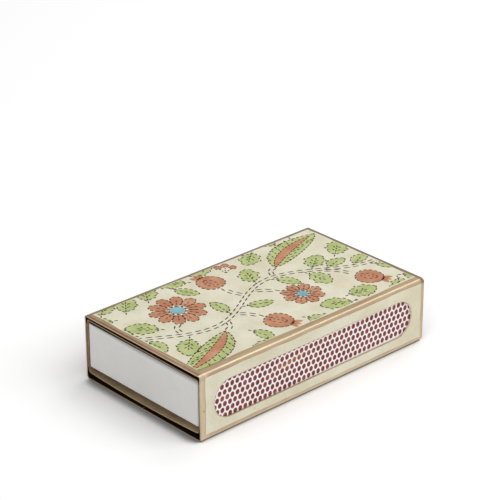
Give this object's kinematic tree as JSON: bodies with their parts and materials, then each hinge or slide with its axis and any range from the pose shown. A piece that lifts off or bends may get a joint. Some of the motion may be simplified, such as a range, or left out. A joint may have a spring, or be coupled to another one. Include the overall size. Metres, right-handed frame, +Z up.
{
  "type": "matchbox holder",
  "caption": "Open-ended sheet-metal sleeve dressed in printed paper, with round-ended striker windows, holding a sliding kitchen matchbox and its tray of long matches.",
  "frame": {"origin": "middle of the base panel's underside, on which the holder rests", "axes": "+X along the holder from the pictured mouth to the far mouth, -Y out of the front striker window, +Z up"},
  "size_m": [0.115, 0.065, 0.0269],
  "materials": {
    "gold_sheet": "satin, hand folded",
    "printed_paper": "matte, printed",
    "kraft_card": "matte, uncoated",
    "striker_coat": "fine abrasive dots",
    "tray_card": "matte, clay coated",
    "splint_wood": "sawn",
    "head_composition": "matte, grainy"
  },
  "bodies": {
    "holder": {"holder_shell": "gold_sheet", "top_panel": "printed_paper", "base_panel": "printed_paper", "front_panel": "printed_paper", "back_panel": "printed_paper"},
    "matchbox": {"matchbox_sleeve": "kraft_card", "front_striker": "striker_coat", "back_striker": "striker_coat"},
    "match_tray": {"tray": "tray_card", "splints_bottom": "splint_wood", "heads_bottom": "head_composition", "splints_middle": "splint_wood", "heads_middle": "head_composition", "splints_upper": "splint_wood", "heads_upper": "head_composition", "splints_loose": "splint_wood", "heads_loose": "head_composition"}
  },
  "joints": [
    {"name": "matchbox_slide", "type": "slide", "parent": "holder", "child": "matchbox", "axis": [-1, 0, 0], "range_m": [-0.118, 0.118]},
    {"name": "tray_slide", "type": "slide", "parent": "matchbox", "child": "match_tray", "axis": [-1, 0, 0], "range_m": [-0.085, 0.085]}
  ]
}
